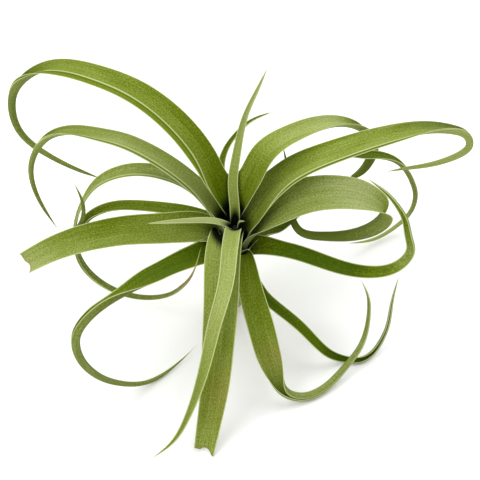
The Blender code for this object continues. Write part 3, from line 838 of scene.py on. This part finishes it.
def leaf_material(name, greyness, colours):
    """Green tissue with lengthwise veins, under pale scales gathered in streaks, with thin pale margins,
    painted light and shade along each crease, and painted shade near the crown.
    """
    shader = Shader(name)
    blade = shader.attribute("blade")
    margin, share, underside = shader.parts(shader.attribute("face"))
    tone, blush, heart_shade = shader.parts(shader.attribute("looks"))
    veins = shader.noise(blade, VEIN_GRAIN, detail=3.0, roughness=0.6)
    streaks = shader.noise(blade, STREAK_GRAIN)
    clouds = shader.noise(blade, CLOUD_GRAIN, detail=3.0)
    specks = shader.noise(blade, SPECK_GRAIN, detail=3.0, roughness=0.8)
    fine = shader.noise(blade, FINE_GRAIN, detail=1.0)

    grain = (specks - NOISE_MIDDLE) * SPECK_SHIFT + (fine - NOISE_MIDDLE) * FINE_SHIFT
    lengthwise = (veins - NOISE_MIDDLE) * VEIN_SHIFT + (streaks - NOISE_MIDDLE) * STREAK_SHIFT
    ripple = lengthwise + (clouds - NOISE_MIDDLE) * CLOUD_SHIFT + grain
    greens = (colours.deep, colours.leaf, colours.dusted, colours.scurf)
    upper = shader.ramp(tone + ripple, tuple(zip(TONE_STOPS, greens)))
    greyed = shader.mix(greyness, upper, opaque(colours.bloom))
    bloomed = shader.eased(tone * BLOOM_SHARE + ripple, *BLOOM_TONES)
    lower = shader.mix(bloomed, opaque(colours.underside), opaque(colours.bloom))
    foot = 1.0 - shader.eased(shader.parts(blade)[1], *FOOT_FADE)
    skin = shader.mix(underside, greyed, shader.mix(foot, lower, opaque(colours.foot)))

    strip = shader.parts(shader.attribute("crease"))[0]
    inside = margin - strip
    creased = shader.eased(strip, *CREASED_STRIP)
    # Painted light along the crease: darker on the turned-down strip, a pale highlight in the margin colour
    # at the crease, and a shadow just past it
    hem_shade = (1.0 - shader.eased(inside, *HEM_SHADE_FADE)) * creased
    hem_shaded = shader.mix(hem_shade * HEM_SHADE_STRENGTH, skin, opaque(colours.leaf))
    crease_highlight = (1.0 - shader.eased(inside.size(), *CREASE_HIGHLIGHT_FADE)) * creased
    shadow = (1.0 - shader.eased((inside - SHADOW_PLACE).size(), *SHADOW_FADE)) * creased
    shaded = shader.mix(shadow * SHADOW_STRENGTH, hem_shaded, opaque(colours.deep))
    crease_highlighted = shader.mix(crease_highlight * CREASE_HIGHLIGHT_STRENGTH, shaded, opaque(colours.margin))
    edge = 1.0 - shader.eased(margin + (specks - NOISE_MIDDLE) * MARGIN_WAVER, *MARGIN_FADE)
    edged = shader.mix(edge * MARGIN_STRENGTH, crease_highlighted, opaque(colours.margin))
    browned = shader.mix(blush * shader.eased(specks, *BLUSHED_SPECKS), edged, opaque(colours.blush))
    dried = shader.mix(shader.eased(share, *DRY_TIP) * DRY_STRENGTH, browned, opaque(colours.blush))
    # Painted shade: the leaf darkens to near black towards the crown
    colour = shader.mix(heart_shade, dried, opaque(colours.heart_shade))

    scaly = shader.eased(tone + ripple, *SCALY_TONES)
    roughness = SKIN_ROUGHNESS + scaly * SCALE_ROUGHNESS + (fine - NOISE_MIDDLE) * FINE_ROUGHNESS
    height = veins * VEIN_RELIEF + specks * SPECK_RELIEF + fine * FINE_RELIEF
    return shader.finish(colour, roughness, height, LEAF_BUMP, Specular_IOR_Level=LEAF_GLOSS)


def make_leaves(scene, kind, name, greyness):
    """One material, and every leaf of a kind in it."""
    material = leaf_material(name, greyness, scene.air_plant_colours)
    for leaf in LEAVES:
        if leaf.kind == kind:
            make_leaf(leaf, material, scene.air_plant_blades)


def stem_surface(looks):
    """The stem's profile turned about the Z axis, under the overlapping sheaths of old leaves.

    Each sheath starts a step higher than the last and the golden angle round from it. Its rim falls away from
    its tip as a power of the angle to either side, and wavers by a sine of the angle. The sheath stands out
    more towards its rim. Older sheaths, which start lower, lie over younger ones. Fine ridges are a sine of
    the angle whose phase wanders with the height. Sheaths and ridges fade out at the foot and the tip.
    """
    heights = np.linspace(0.0, STEM_PROFILE[-1][0], STEM_ROWS)[1:-1, None]
    turn = np.linspace(0.0, 2.0 * np.pi, STEM_COLUMNS, endpoint=False)[None]
    swell = np.zeros((STEM_ROWS - 2, STEM_COLUMNS))
    rim_tint = np.zeros_like(swell)
    hidden = int(SHEATH_LENGTH / looks.sheath_pitch)
    for number in reversed(range(-hidden, int(SHEATHS_END / looks.sheath_pitch))):
        foot = number * looks.sheath_pitch
        aside = np.abs((turn - number * GOLDEN_ANGLE + np.pi) % (2.0 * np.pi) - np.pi) / SHEATH_REACH
        rim = foot + SHEATH_LENGTH * (1.0 - aside**SHEATH_POWER)
        rim = rim + RIM_WAVER * np.sin(RIM_WAVES * turn + number)
        below = rim - heights
        climbed = 1.0 - np.clip(below / np.maximum(rim - foot, LEAST_SHEATH), 0.0, 1.0)
        cover = smoothstep(0.0, RIM_ROUND, below) * smoothstep(foot - SHEATH_FOOT_FADE, foot, heights)
        stands_out = LEAST_SWELL_SHARE + (1.0 - LEAST_SWELL_SHARE) * climbed
        swell += (looks.sheath_depth * stands_out - swell) * cover
        rim_tint += (1.0 - smoothstep(*RIM_TINT_STRETCH, below) - rim_tint) * cover
    room = smoothstep(*SWELL_IN, heights) * (1.0 - smoothstep(*SWELL_OUT, heights))
    wander, pace = RIDGE_WANDER
    ridges = RIDGE_HEIGHT * np.sin(RIDGES * turn + wander * np.sin(heights * pace)) * room
    radius = stem_radius(heights) + (swell - looks.sheath_depth / 2.0) * room + ridges - STEM_INSET
    across = radius * np.cos(turn) + stem_side(heights)
    height = np.broadcast_to(heights, radius.shape)
    points = np.stack([across, radius * np.sin(turn), height], axis=-1)
    values = np.stack([rim_tint, swell / looks.sheath_depth, height / STEM_PROFILE[-1][0]], axis=-1)
    return points, values


def stem_material(looks, heart_shade):
    """Fibrous old sheaths with papery rims, brown at the foot and greener above, with painted shade in the
    grooves and painted shade that turns the top black among the leaf bases.
    """
    shader = Shader("old_sheaths")
    rim, swell, share = shader.parts(shader.attribute("looks"))
    place = shader.add("ShaderNodeTexCoord", output="Object")
    fibres = shader.noise(place, FIBRE_GRAIN, detail=3.0, roughness=0.65)
    patches = shader.noise(place, PATCH_GRAIN, detail=3.0)
    dark_bark = opaque(looks.bark, BARK_SHADE)
    bark = shader.mix(shader.eased(fibres, *BARK_FIBRES), dark_bark, opaque(looks.bark))
    pale_patches = shader.eased(patches, *STRAW_PATCHES) * STRAW_STRENGTH
    weathered = shader.mix(pale_patches, bark, opaque(looks.straw))
    dark_fresh = opaque(looks.fresh, FRESH_SHADE)
    fresh = shader.mix(shader.eased(fibres, *FRESH_FIBRES), dark_fresh, opaque(looks.fresh))
    greener = shader.eased(share + (patches - NOISE_MIDDLE) * FRESH_WAVER, *FRESH_HEIGHTS)
    grown = shader.mix(greener, weathered, fresh)
    rimmed = shader.mix(rim * RIM_STRENGTH, grown, opaque(looks.straw))
    # Painted shade: darker where a sheath lies low, just above the rim of the older sheath that covers its
    # foot
    groove_painted_shade = 1.0 - shader.eased(swell, *GROOVE_SWELL)
    groove_shaded = shader.mix(groove_painted_shade, rimmed, opaque(looks.bark, GROOVE_SHADE))
    # Painted shade: the stem darkens to near black near its top, among the leaf bases
    colour = shader.mix(shader.eased(share, *HEART_SHADE_HEIGHTS), groove_shaded, opaque(heart_shade))
    roughness = STEM_ROUGHNESS + (fibres - NOISE_MIDDLE) * FIBRE_ROUGHNESS
    return shader.finish(colour, roughness, fibres + patches * PATCH_RELIEF, STEM_BUMP)


class AIRPLANT_OT_mature_leaves(bpy.types.Operator):
    """Builds the full-grown leaves"""

    bl_idname = "air_plant.mature_leaves"
    bl_label = "Mature leaves"

    def execute(self, context):
        make_leaves(context.scene, MATURE, "mature_leaf_skin", 0.0)
        return {"FINISHED"}


class AIRPLANT_OT_young_leaves(bpy.types.Operator):
    """Builds the pale leaves near the crown"""

    bl_idname = "air_plant.young_leaves"
    bl_label = "Young leaves"

    def execute(self, context):
        make_leaves(context.scene, YOUNG, "young_leaf_skin", YOUNG_GREYNESS)
        return {"FINISHED"}


class AIRPLANT_OT_dark_leaves(bpy.types.Operator):
    """Builds the leaves that grow in the shade of others"""

    bl_idname = "air_plant.dark_leaves"
    bl_label = "Shaded leaves"

    def execute(self, context):
        make_leaves(context.scene, DARK, "shaded_leaf_skin", 0.0)
        return {"FINISHED"}


class AIRPLANT_OT_stem(bpy.types.Operator):
    """Builds the short stem with its old sheaths"""

    bl_idname = "air_plant.stem"
    bl_label = "Stem"

    def execute(self, context):
        scene = context.scene
        surface, values = stem_surface(scene.air_plant_stem)
        rows, columns = surface.shape[:2]
        ring = np.arange(columns)
        poles = np.array([[0.0, 0.0, 0.0], [CROWN_SIDE, 0.0, STEM_PROFILE[-1][0] - STEM_INSET]])
        rim = surface[0] * (1.0, 1.0, 0.0)
        points = np.concatenate([rim, surface.reshape(-1, 3), poles])
        looks = np.concatenate([values[0], values.reshape(-1, 3), values[0, :1], values[-1, :1]])
        faces = ring_faces(rows + 1, columns)
        faces += fan_faces(ring, len(points) - 2) + fan_faces(ring + rows * columns, len(points) - 1)
        material = stem_material(scene.air_plant_stem, scene.air_plant_colours.heart_shade)
        add_piece("sheathed_stem", points, faces, {"looks": looks}, material, "stem")
        return {"FINISHED"}


def add_light(name, place, target, size, power):
    """A round soft light at a place, in metres, that faces a target."""
    light = bpy.data.lights.new(name, "AREA")
    light.shape = "DISK"
    light.size = size
    light.energy = power
    lamp = bpy.data.objects.new(name, light)
    lamp.location = place
    away = np.array(place) - np.array(target)
    flat = np.hypot(away[0], away[1])
    lamp.rotation_euler = (np.arctan2(flat, away[2]), 0.0, np.arctan2(away[1], away[0]) + np.pi / 2.0)
    bpy.context.scene.collection.objects.link(lamp)


class AIRPLANT_OT_stage(bpy.types.Operator):
    """Builds the pale floor, the soft lights and the camera"""

    bl_idname = "air_plant.stage"
    bl_label = "Stage"

    def execute(self, context):
        scene = context.scene
        sizes = scene.air_plant_stage
        half = sizes.floor_side / 2.0
        mesh = bpy.data.meshes.new("floor")
        corners = [(-half, -half, 0), (half, -half, 0), (half, half, 0), (-half, half, 0)]
        mesh.from_pydata(corners, [], [(0, 1, 2, 3)])
        paper = Shader("plain_floor")
        place = paper.add("ShaderNodeTexCoord", output="Object")
        grain = paper.noise(place, FLOOR_GRAIN)
        colour = paper.mix(grain * FLECK_STRENGTH, opaque(sizes.floor_colour), opaque(FLECK_COLOUR))
        mesh.materials.append(paper.finish(colour, FLOOR_ROUGHNESS, grain, FLOOR_BUMP))
        floor = bpy.data.objects.new("floor", mesh)
        scene.collection.objects.link(floor)

        camera = bpy.data.cameras.new("camera")
        camera.lens = sizes.lens
        camera.sensor_width = SENSOR_WIDTH
        viewer = bpy.data.objects.new("camera", camera)
        viewer.location = (sizes.camera_side, -sizes.camera_distance, sizes.camera_height)
        viewer.rotation_euler = (np.pi / 2.0 - sizes.camera_elevation, 0.0, 0.0)
        scene.collection.objects.link(viewer)
        scene.camera = viewer

        world = bpy.data.worlds.new("white_surroundings")
        world.use_nodes = True
        backdrop = world.node_tree.nodes["Background"]
        backdrop.inputs["Color"].default_value = (1.0, 1.0, 1.0, 1.0)
        backdrop.inputs["Strength"].default_value = sizes.sky
        scene.world = world
        add_light("key_light", KEY_PLACE, LIT_POINT, KEY_SIZE, sizes.key_power)
        add_light("fill_light", FILL_PLACE, LIT_POINT, FILL_SIZE, sizes.fill_power)
        scene.view_settings.view_transform = "Standard"
        return {"FINISHED"}


class AIRPLANT_PT_panel(bpy.types.Panel):
    """Lists the pieces of the air plant"""

    bl_idname = "AIRPLANT_PT_panel"
    bl_label = "Air plant"
    bl_space_type = "VIEW_3D"
    bl_region_type = "UI"
    bl_category = "Air plant"

    def draw(self, context):
        for operator in OPERATORS:
            self.layout.operator(operator.bl_idname)
        for group in GROUPS:
            settings = getattr(context.scene, group)
            for name in settings.bl_rna.properties.keys()[1:]:
                self.layout.prop(settings, name)


GROUPS = {
    "air_plant_blades": BladeSizes,
    "air_plant_colours": LeafColours,
    "air_plant_stem": StemLooks,
    "air_plant_stage": StageSizes,
}
OPERATORS = (
    AIRPLANT_OT_mature_leaves,
    AIRPLANT_OT_young_leaves,
    AIRPLANT_OT_dark_leaves,
    AIRPLANT_OT_stem,
    AIRPLANT_OT_stage,
)
CLASSES = (*GROUPS.values(), *OPERATORS, AIRPLANT_PT_panel)


def register():
    """Registers every class, and gives the scene its property groups."""
    for cls in CLASSES:
        bpy.utils.register_class(cls)
    for name, group in GROUPS.items():
        setattr(bpy.types.Scene, name, PointerProperty(type=group))


def unregister():
    """Undoes what register did."""
    for name in GROUPS:
        delattr(bpy.types.Scene, name)
    for cls in reversed(CLASSES):
        bpy.utils.unregister_class(cls)


def main():
    """Builds every piece and the stage."""
    register()
    bpy.ops.air_plant.stem()
    bpy.ops.air_plant.mature_leaves()
    bpy.ops.air_plant.young_leaves()
    bpy.ops.air_plant.dark_leaves()
    bpy.ops.air_plant.stage()


if __name__ == "__main__":
    main()
